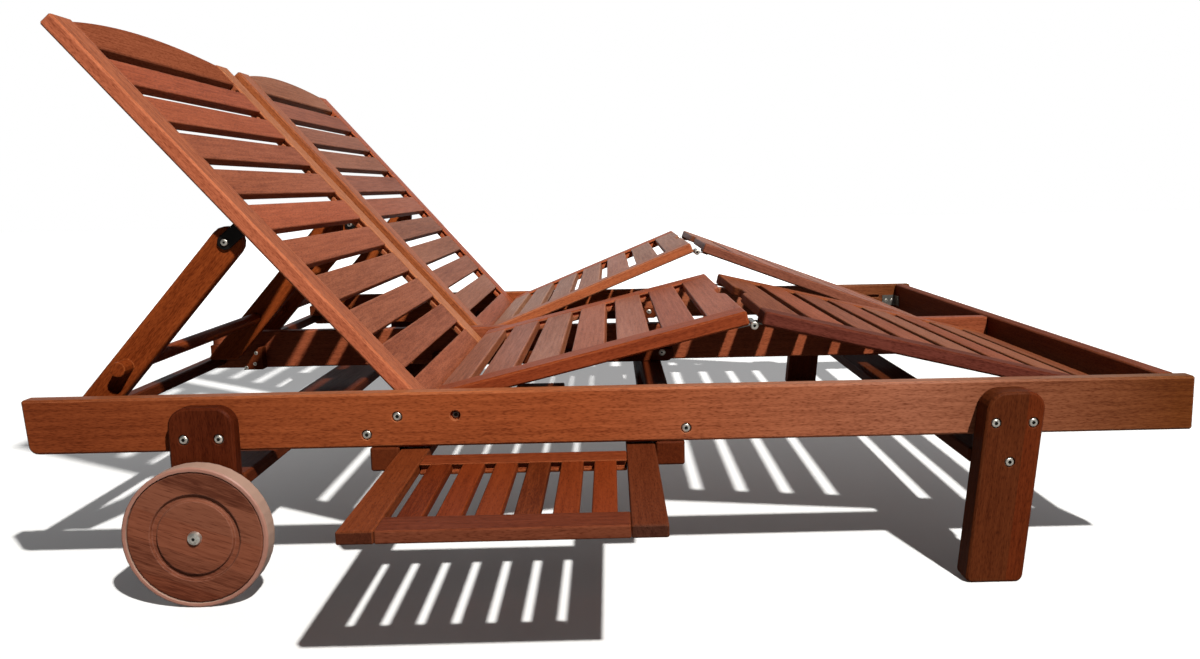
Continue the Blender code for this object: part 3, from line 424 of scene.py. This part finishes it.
# Frame timber: node, family of boards and the way its grain runs
FRAME_BOARDS = (
    ("side_rail_near", "rail", "X"),
    ("side_rail_far", "rail", "X"),
    ("centre_rail", "centre", "X"),
    ("foot_board", "foot", "Y"),
    ("head_bar_near", "hidden", "Y"),
    ("head_bar_far", "hidden", "Y"),
    ("front_stretcher", "hidden", "Y"),
    ("wheel_stretcher", "hidden", "Y"),
    ("tray_runner_head", "hidden", "Y"),
    ("tray_runner_foot", "hidden", "Y"),
    ("tray_stile_head", "tray_head", "Y"),
    ("tray_stile_foot", "tray_foot", "Y"),
    ("tray_tail", "hidden", "X"),
    ("wheel_leg_near", "wheel_leg", "Z"),
    ("wheel_leg_far", "wheel_leg", "Z"),
)
# Painted light and shade: tints of the faces that look toward the camera, lighter or darker as they are lit
SIDE_LIGHT_TINTS = {
    "back_stile_near": (1.20, 1.22, 1.60),
    "thigh_stile_near": (0.88, 0.85, 1.14),
    "thigh_slat_far": (1.06, 0.88, 0.74),
    "calf_stile_near": (1.07, 1.20, 1.85),
    "calf_slat_far": (1.14, 1.59, 2.50),
    "tray_head": (0.45, 0.55, 0.95),
    "tray_foot": (0.57, 0.88, 1.55),
    "tray_slat": (1.25, 1.60, 1.90),
}
# Tints along the rails, at places in the frame of the pack: partly the boards' own tone and partly painted
# light, the pale grey stretch toward the foot end a painted reflection of the floor
RAIL_TONE_AND_REFLECTION = (
    (-0.80, (0.61, 0.57, 0.52)),
    (-0.05, (1.05, 1.07, 1.06)),
    (0.45, (1.00, 1.49, 2.50)),
    (0.85, (0.43, 0.50, 0.38)),
)
# Seeds that choose the cut of timber
FRAME_SEED = 3
CLEAT_SEED = 23
CARRIER_SEED = 33
LEG_SEED = 43
CREST_SEED = 141
PROP_SEED = 155
TRAY_SEED = 2823
WHEEL_SEED = 4545
WHEEL_STEP = 9
PROP_STEP = 2
PANEL_STEP = 40

for seed, (node, tone, along) in enumerate(FRAME_BOARDS):
    drift = RAIL_TONE_AND_REFLECTION if tone == "rail" else None
    timber(node, tone, along, seed + FRAME_SEED, vary=0.1, drift=drift, bleach=tone == "rail",
           sides=SIDE_LIGHT_TINTS.get(tone))
for seed, place in enumerate(("near", "centre_near", "centre_far", "far")):
    timber("prop_cleat_" + place, "hidden", "X", seed + CLEAT_SEED)
    timber("runner_carrier_" + place, "hidden", "X", seed + CARRIER_SEED)

# Front legs glued from two boards, and wheels from planks
LEG_SPLIT = ("X", 0.004, 0.2)
PLANKS = ("Z", -0.028, 0.045)
PLANK_TILT = math.radians(20)
PLANK_FLECKS = 50.0
for seed, side in enumerate(SIDES):
    low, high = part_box("front_leg_" + side)
    foot = ((low.x + high.x) / 2, low.y, 0.0)
    timber("front_leg_" + side, "leg", "Z", seed + LEG_SEED, foot, LEG_LEAN, LEG_SPLIT, vary=0.3)
    hub = pivot("wheel_" + side + "_spin")
    timber("wheel_disc_" + side, "wheel", "X", seed * WHEEL_STEP + WHEEL_SEED, hub, PLANK_TILT, PLANKS,
           vary=1.0, flecks=PLANK_FLECKS)
    dress("wheel_tyre_" + side, rubber("wheel_tyre_" + side))

# Tray: its slats' grain runs across, and turns along the rails at their ends
TRAY_RAIL_W = 0.046
TRAY_STRIPS = ("X", -0.2701, 0.0467)
TRAY_END_TINTS = ((0.80, 1.00, 1.72), (1.60, 2.05, 2.80))
tray_low, tray_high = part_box("tray_slats")
timber("tray_slats", "tray_slat", "Y", TRAY_SEED, strips=TRAY_STRIPS,
       turn=("Y", tray_low.y + TRAY_RAIL_W, tray_high.y - TRAY_RAIL_W, "X"), vary=0.7,
       ends=TRAY_END_TINTS, sides=SIDE_LIGHT_TINTS["tray_slat"])

# Slatted panels: the grain follows each slat across, and turns along the inner stile
SLATS_END = 0.5875
OPEN_END = 2.0
SLATS_Y = {
    "near": (-OPEN_END, SLATS_END + SHIFT.y),
    "far": (FRAME_W - SLATS_END + SHIFT.y, OPEN_END),
}
# Start is the first slat's edge from the panel's joint, pitch is from slat to slat
PANELS = (
    {"part": "backrest", "family": "back", "joint": "tilt", "start": -0.76607, "pitch": 0.07312,
     "tilt": {"near": BACK_TILT, "far": BACK_TILT},
     "slat_seed": 88, "stile_seed": 104, "strap": STRAP_AT, "edge": 1.0},
    {"part": "thigh", "family": "thigh", "joint": "lift", "start": -0.0453, "pitch": 0.0734,
     "tilt": {"near": math.radians(-13.65), "far": math.radians(-22.0)},
     "slat_seed": 55, "stile_seed": 65, "strap": None, "edge": EDGE_WEAR_AND_HIGHLIGHT},
    {"part": "calf", "family": "calf", "joint": "fold", "start": 0.01165, "pitch": 0.0746,
     "tilt": {"near": math.radians(13.39), "far": math.radians(20.95)},
     "slat_seed": 44, "stile_seed": 52, "strap": None, "edge": EDGE_WEAR_AND_HIGHLIGHT},
)
INNER_STILE_TINTS = {
    "back_near": (1.38, 1.68, 1.62),
    "back_far": (1.34, 1.28, 1.06),
    "thigh_near": (1.0, 0.9, 0.85),
    "thigh_far": (0.99, 0.83, 0.72),
    "calf_near": (0.9, 0.9, 0.9),
    "calf_far": (0.66, 0.55, 0.60),
}


def dress_panel(panel, side, step):
    """Slats with their inner stile, and the outer stile, of one panel."""
    part = panel["part"]
    tilt = panel["tilt"][side]
    slat_tone = panel["family"] + "_slat_" + side
    stile_tone = panel["family"] + "_stile_" + side
    spot = pivot(part + "_" + side + "_" + panel["joint"])
    low, high = SLATS_Y[side]
    stile_tint = INNER_STILE_TINTS[panel["family"] + "_" + side]
    timber(part + "_slats_" + side, slat_tone, "Y", panel["slat_seed"] + step, spot, tilt,
           ("X", panel["start"], panel["pitch"]), ("Y", low - spot[1], high - spot[1], "X"), vary=0.3,
           strap=panel["strap"], ends=(stile_tint, stile_tint), sides=SIDE_LIGHT_TINTS.get(slat_tone))
    timber(part + "_stile_" + side, stile_tone, "X", panel["stile_seed"] + step, spot, tilt, vary=0.2,
           strap=panel["strap"], sides=SIDE_LIGHT_TINTS.get(stile_tone), edge=panel["edge"])


for seed, side in enumerate(SIDES):
    for panel in PANELS:
        dress_panel(panel, side, seed * PANEL_STEP)
    timber("backrest_crest_" + side, "crest_" + side, "Y", seed + CREST_SEED,
           pivot("backrest_" + side + "_tilt"), BACK_TILT, vary=0.1)
    for arm in ("outer", "inner"):
        timber("prop_arm_" + arm + "_" + side, "prop", "X", seed * PROP_STEP + PROP_SEED,
               pivot("prop_" + side + "_fold"), PROP_TILT)

# Steel pieces
bright_steel = steel("bright_steel", 1.4)
dull_steel = steel("dull_steel", 0.45)
# Near-black steel: painted shade inside sockets, cross recesses and the axle key holes
dark_steel = steel("dark_steel", 0.06)
for node in nodes:
    if node.startswith("axle_"):
        dress(node, bright_steel)
    if node.startswith(("corner_bracket_", "knee_leaf_")):
        dress(node, dull_steel)


# Small fasteners: points round a head, and the slot in its mesh for the near-black steel that paints the
# shade inside sockets and recesses
TURN = 24
SHADE_SLOT = 1
WASHER_T = 0.0011
WASHER_RIM = 0.0009
COLLAR = 1.04
SOCKET_DEPTH = 0.0018
SOCKET_TAPER = (0.98, 0.95)
# Shares of a button head's radius and height, from its foot to its flat top
HEAD_PROFILE = ((1.0, 0.08), (1.0, 0.55), (0.96, 0.78), (0.87, 0.93), (0.74, 1.0))
# Shares of a screw head's radius and height, and of its radius to the cross's ends and corners
SCREW_PROFILE = ((1.0, 0.0), (0.97, 0.7), (0.86, 1.0))
CROSS_END = 0.62
CROSS_CORNER = 0.24
CROSS_DEPTH = 0.8
SHARP_ANGLE = math.radians(38)


def add_object(name, data):
    made = bpy.data.objects.new(name, data)
    bpy.context.scene.collection.objects.link(made)
    return made


def hex_reach(angle, flat):
    """Distance from the middle of a hexagon to its edge, where flat is the least of it."""
    part = math.radians(60)
    return flat / math.cos((angle % part) - part / 2)


def lathe_ring(bm, spot, out, radius, height, hexagon=False):
    """A ring of points round an axis along Y, at a height above a face."""
    ring = []
    for i in range(TURN):
        angle = 2 * math.pi * i / TURN
        r = hex_reach(angle, radius) if hexagon else radius
        ring.append(bm.verts.new((spot[0] + r * math.cos(angle), spot[1] + out * height,
                                  spot[2] + r * math.sin(angle))))
    return ring


def bridge(bm, lower, upper, finish=0):
    for i in range(TURN):
        j = (i + 1) % TURN
        bm.faces.new((lower[i], lower[j], upper[j], upper[i])).material_index = finish


def bolt(bm, spot, out, radius, height, socket, washer=0.0):
    """A button head with a hexagon socket on a face at spot, out along -Y or +Y, with or without a washer."""
    base = WASHER_T if washer else 0.0
    if washer:
        rings = [lathe_ring(bm, spot, out, washer, 0.0), lathe_ring(bm, spot, out, washer, WASHER_RIM),
                 lathe_ring(bm, spot, out, radius * COLLAR, base)]
    else:
        rings = [lathe_ring(bm, spot, out, radius, 0.0)]
    for r, h in HEAD_PROFILE:
        rings.append(lathe_ring(bm, spot, out, radius * r, base + (height - base) * h))
    rings.append(lathe_ring(bm, spot, out, socket, height, True))
    pit = [lathe_ring(bm, spot, out, socket * SOCKET_TAPER[0], height, True),
           lathe_ring(bm, spot, out, socket * SOCKET_TAPER[1], height - SOCKET_DEPTH, True)]
    for lower, upper in zip(rings, rings[1:]):
        bridge(bm, lower, upper)
    # Walls and floor of the socket: painted shade
    bridge(bm, rings[-1], pit[0], SHADE_SLOT)
    bridge(bm, pit[0], pit[1], SHADE_SLOT)
    bm.faces.new(rings[0][::-1])
    bm.faces.new(pit[1]).material_index = SHADE_SLOT


def screw(bm, spot, out, radius, height):
    """A countersunk head with a cross recess, nearly flush."""
    rings = [lathe_ring(bm, spot, out, radius * r, height * h) for r, h in SCREW_PROFILE]
    inner = []
    for i in range(TURN):
        angle = 2 * math.pi * i / TURN
        reach = radius * (CROSS_END if i % 6 in (0, 1, 5) else CROSS_CORNER)
        inner.append(bm.verts.new((spot[0] + reach * math.cos(angle), spot[1] + out * height,
                                   spot[2] + reach * math.sin(angle))))
    pit = [bm.verts.new(v.co - Vector((0.0, out * height * CROSS_DEPTH, 0.0))) for v in inner]
    rings.append(inner)
    for lower, upper in zip(rings, rings[1:]):
        bridge(bm, lower, upper)
    # Cross recess: painted shade
    bridge(bm, inner, pit, SHADE_SLOT)
    bm.faces.new(rings[0][::-1])
    bm.faces.new(pit).material_index = SHADE_SLOT


def piece(name, bm, body, material):
    """A new piece of steel from a mesh, riding on a body."""
    bmesh.ops.recalc_face_normals(bm, faces=bm.faces)
    mesh = bpy.data.meshes.new(name)
    bm.to_mesh(mesh)
    bm.free()
    for face in mesh.polygons:
        face.use_smooth = True
    mesh.set_sharp_from_angle(angle=SHARP_ANGLE)
    mesh.materials.append(material)
    mesh.materials.append(dark_steel)
    made = add_object(name, mesh)
    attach(made, body)


def both(x, y, z, out):
    """The same spot on the near and the far side, with the way that it faces."""
    yield "near", Vector((x, y, z)) + SHIFT, out
    yield "far", Vector((x, FRAME_W - y, z)) + SHIFT, -out


def side_meshes():
    return {side: bmesh.new() for side in SIDES}


# Heads: socket is from the middle of the key's hexagon to its flat
RAIL_HEAD = {"radius": 0.0069, "height": 0.0072, "socket": 0.0026}
DEEP_HEAD = {"radius": 0.0052, "height": 0.0022, "socket": 0.0030}
LEG_HEAD = {"radius": 0.0064, "height": 0.0054, "socket": 0.0025, "washer": 0.0074}
CARRIER_HEAD = {"radius": 0.0055, "height": 0.0036, "socket": 0.0022, "washer": 0.0070}
CENTRE_HEAD = {"radius": 0.0060, "height": 0.0036, "socket": 0.0022, "washer": 0.0072}
UPSTAND_HEAD = {"radius": 0.0045, "height": 0.0026, "socket": 0.0019}
PROP_HEAD = {"radius": 0.0054, "height": 0.0036, "socket": 0.0018}
KNEE_HEAD = {"radius": 0.0062, "height": 0.0034, "socket": 0.0022}
CLEAT_SCREW = {"radius": 0.0040, "height": 0.0008}
BRACKET_SCREW = {"radius": 0.0042, "height": 0.0006}

# Pockets in the rails' outer faces, for the pivots of back and thigh and for the runner carriers
POCKET_Y = 0.008
PIVOT_Z = 0.264
BACK_PIVOT_X = 0.5525
THIGH_PIVOT_X = 0.6388
CARRIER_X = (0.506, 0.983)
CARRIER_Z = 0.237
rail_bolts = side_meshes()
deep_bolts = side_meshes()
for x, z in ((BACK_PIVOT_X, PIVOT_Z), (CARRIER_X[0], CARRIER_Z), (CARRIER_X[1], CARRIER_Z)):
    for side, spot, out in both(x, POCKET_Y, z, -1):
        bolt(rail_bolts[side], spot, out, **RAIL_HEAD)
for side, spot, out in both(THIGH_PIVOT_X, POCKET_Y, PIVOT_Z, -1):
    bolt(deep_bolts[side], spot, out, **DEEP_HEAD)

# Outer faces of the wheel legs and of the leaning front legs
WHEEL_LEG_X = 0.2715
WHEEL_LEG_Y = -0.019
WHEEL_BOLTS = ((-0.0255, 0.2418), (0.0255, 0.2418))
FRONT_LEG_X = 1.4385
FRONT_LEG_Y = -0.035
FRONT_BOLTS = ((-0.0275, 0.2445), (0.0275, 0.2445), (0.0, 0.1856))
leg_bolts = side_meshes()
for off, z in WHEEL_BOLTS:
    for side, spot, out in both(WHEEL_LEG_X + off, WHEEL_LEG_Y, z, -1):
        bolt(leg_bolts[side], spot, out, **LEG_HEAD)
for off, z in FRONT_BOLTS:
    for side, spot, out in both(FRONT_LEG_X + off + math.tan(LEG_LEAN) * z, FRONT_LEG_Y, z, -1):
        bolt(leg_bolts[side], spot, out, **LEG_HEAD)

# Inside the frame: how far the faces of carriers and upstands, cleats and brackets stand off the rails
CARRIER_FACE = 0.0223
CLEAT_FACE = 0.0243
BRACKET_FACE = 0.0028
CLEAT_SCREWS = ((0.102, 0.254), (0.0985, 0.2305), (0.080, 0.2225))
UPSTAND_X = 0.0190
UPSTAND_Z = 0.2537
BRACKET_X = (1.680, 1.696)
BRACKET_Z = 0.254
inside = side_meshes()
for x in CARRIER_X:
    for side, spot, out in both(x, RAIL_T + CARRIER_FACE, CARRIER_Z, 1):
        bolt(inside[side], spot, out, **CARRIER_HEAD)
    for side, spot, out in both(x, CENTRE_Y - CARRIER_FACE, CARRIER_Z, -1):
        bolt(inside[side], spot, out, **CENTRE_HEAD)
for x, z in CLEAT_SCREWS:
    for y, way in ((RAIL_T + CLEAT_FACE, 1), (CENTRE_Y - CLEAT_FACE, -1)):
        for side, spot, out in both(x, y, z, way):
            screw(inside[side], spot, out, **CLEAT_SCREW)
for y, way in ((RAIL_T + CARRIER_FACE, 1), (CENTRE_Y - CARRIER_FACE, -1)):
    for side, spot, out in both(UPSTAND_X, y, UPSTAND_Z, way):
        bolt(inside[side], spot, out, **UPSTAND_HEAD)
for x in BRACKET_X:
    for side, spot, out in both(x, RAIL_T + BRACKET_FACE, BRACKET_Z, 1):
        screw(inside[side], spot, out, **BRACKET_SCREW)
for side in SIDES:
    piece("rail_bolts_" + side, rail_bolts[side], "frame", bright_steel)
    piece("leg_bolts_" + side, leg_bolts[side], "frame", bright_steel)
    # Bolts deep in the thigh pivot pockets wear the dull steel: painted shade of the pockets
    piece("deep_bolts_" + side, deep_bolts[side], "frame", dull_steel)
    piece("inner_fasteners_" + side, inside[side], "frame", bright_steel)

# Painted shade of a key hole on each axle head: a thin near-black hexagon laid on the face, with no hole cut
AXLE_KEY_R = 0.0022
AXLE_KEY_T = 0.0001
for side in SIDES:
    out = -1 if side == "near" else 1
    low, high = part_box("axle_" + side)
    hub = pivot("wheel_" + side + "_spin")
    bm = bmesh.new()
    spot = (hub[0], low.y if side == "near" else high.y, hub[2])
    rings = [lathe_ring(bm, spot, out, AXLE_KEY_R, height, True) for height in (0.0, AXLE_KEY_T)]
    bridge(bm, rings[0], rings[1], SHADE_SLOT)
    bm.faces.new(rings[0][::-1]).material_index = SHADE_SLOT
    bm.faces.new(rings[1]).material_index = SHADE_SLOT
    piece("axle_key_" + side, bm, "frame", dark_steel)

# Bolts through the prop straps, and pin heads at the two ends of each knee hinge
PROP_BOLTS_Y = ((0.0617, -1), (0.6083, 1))
KNEE_Y = (0.03625, 0.59375)
KNEE_W = 0.040
prop_bolts = side_meshes()
knee_pins = side_meshes()
for y, way in PROP_BOLTS_Y:
    for side, spot, out in both(0.0, y, 0.0, way):
        at = pivot("prop_" + side + "_fold")
        bolt(prop_bolts[side], Vector((at[0], spot.y, at[2])), out, **PROP_HEAD)
for start in KNEE_Y:
    for y, way in ((start, -1), (start + KNEE_W, 1)):
        for side, spot, out in both(0.0, y, 0.0, way):
            at = pivot("calf_" + side + "_fold")
            bolt(knee_pins[side], Vector((at[0], spot.y, at[2])), out, **KNEE_HEAD)
for side in SIDES:
    piece("prop_bolts_" + side, prop_bolts[side], "backrest_" + side, bright_steel)
    piece("knee_pins_" + side, knee_pins[side], "thigh_" + side, bright_steel)

# Floor: pale to the camera, and greyer to the wood; painted light glows from it, seen by the camera only,
# lightening its shadows toward the back and whitening it far out
FLOOR_REACH = 14.0
FLOOR_DARK = (0.80, 0.80, 0.79, 1.0)
FLOOR_PALE = (0.84, 0.84, 0.83, 1.0)
FLOOR_TO_WOOD = (0.26, 0.26, 0.26, 1.0)
GLOW_COLOUR = (1.0, 0.985, 0.97, 1.0)
GLOW_BACK = (-0.5, 0.75, 0.026, 0.19)
GLOW_OUT = (1.7, 4.0, 0.0, 0.7)
bm = bmesh.new()
bmesh.ops.create_grid(bm, x_segments=8, y_segments=8, size=FLOOR_REACH)
mesh = bpy.data.meshes.new("floor")
bm.to_mesh(mesh)
bm.free()
floor = add_object("floor", mesh)
g = Graph(bpy.data.materials.new("floor"))
shader = g.sockets("Principled BSDF")
place = g.add("TexCoord").outputs["Object"]
direct = g.add("LightPath").outputs["Is Camera Ray"]
mottle = g.tint(g.noise(place, scale=3.0, detail=3.0), FLOOR_DARK, FLOOR_PALE)
g.feed(shader["Base Color"], g.tint(direct, FLOOR_TO_WOOD, mottle))
back = g.add("SeparateXYZ", {"Vector": place}).outputs[1]
far_out = g.add("VectorMath", {0: place}, operation="LENGTH").outputs["Value"]
glow = g.math("ADD", g.span(back, *GLOW_BACK), g.span(far_out, *GLOW_OUT))
g.feed(shader["Emission Color"], GLOW_COLOUR)
g.feed(shader["Emission Strength"], g.math("MULTIPLY", glow, direct))
g.feed(shader["Roughness"], 0.85)
g.feed(shader["Specular IOR Level"], 0.15)
mesh.materials.append(g.owner)

# Lamp at the front right, as strong far away as close by
KEY_AT = Vector((2.578, -3.140, 4.145))
key = bpy.data.lights.new("key", "POINT")
key.energy = 65.3
key.shadow_soft_size = 0.076
key.color = (1.0, 0.985, 0.96)
g = Graph(key)
even = g.add("LightFalloff", {"Strength": 1.0})
g.feed(g.sockets("Emission")["Strength"], even.outputs["Constant"])
lamp = add_object("key", key)
lamp.location = KEY_AT + SHIFT

# Surround: brightest behind and low down, a little stronger on matt faces, and white to the camera
FILL_COLOUR = (0.97, 1.0, 1.04, 1.0)
SEEN_COLOUR = (1.0, 1.0, 1.0, 1.0)
FILL_BEHIND = (0.0, 0.75, 0.022, 0.85)
FILL_ALOFT = (0.30, 0.85, 1.0, 0.30)
MATT_GAIN = 0.2
world = bpy.data.worlds.new("surround")
g = Graph(world)
ways = g.add("SeparateXYZ", {"Vector": g.add("TexCoord").outputs["Generated"]}).outputs
rays = g.add("LightPath").outputs
strength = g.math("MULTIPLY", g.span(ways[1], *FILL_BEHIND), g.span(ways[2], *FILL_ALOFT))
strength = g.math("MULTIPLY", strength, g.math("MULTIPLY_ADD", rays["Is Diffuse Ray"], MATT_GAIN, 1.0))
g.feed(g.sockets("Background")["Color"], FILL_COLOUR)
g.feed(g.sockets("Background")["Strength"], strength)
fill = g.tree.nodes["Background"].outputs[0]
seen = g.add("Background", {"Color": SEEN_COLOUR}).outputs[0]
pick = g.add("MixShader", {0: rays["Is Camera Ray"], 1: fill, 2: seen})
g.feed(g.sockets("World Output")[0], pick.outputs[0])
bpy.context.scene.world = world
bpy.context.scene.view_settings.view_transform = "Standard"

# Camera where the photograph was taken from
IMAGE_W = 1200.0
IMAGE_H = 659.0
FOCAL_PX = 912.51
AXIS_PX = (624.86, 309.64)
SENSOR_MM = 36.0
CAMERA_AT = Vector((0.8750, -1.3294, 0.5963))
YAW = math.radians(0.8349)
PITCH = math.radians(7.6463)
ROLL = math.radians(1.0468)
ahead = Vector((math.sin(YAW) * math.cos(PITCH), math.cos(YAW) * math.cos(PITCH), -math.sin(PITCH)))
level = Vector((math.cos(YAW), -math.sin(YAW), 0.0))
under = ahead.cross(level)
right = math.cos(ROLL) * level + math.sin(ROLL) * under
down = -math.sin(ROLL) * level + math.cos(ROLL) * under
lens = bpy.data.cameras.new("camera")
lens.sensor_fit = "HORIZONTAL"
lens.sensor_width = SENSOR_MM
lens.lens = FOCAL_PX / IMAGE_W * SENSOR_MM
lens.shift_x = -(AXIS_PX[0] - IMAGE_W / 2) / IMAGE_W
lens.shift_y = (AXIS_PX[1] - IMAGE_H / 2) / IMAGE_W
lens.clip_start = 0.05
camera = add_object("camera", lens)
turn = Matrix((right, -down, -ahead)).transposed().to_4x4()
camera.matrix_world = Matrix.Translation(CAMERA_AT + SHIFT) @ turn
bpy.context.scene.camera = camera
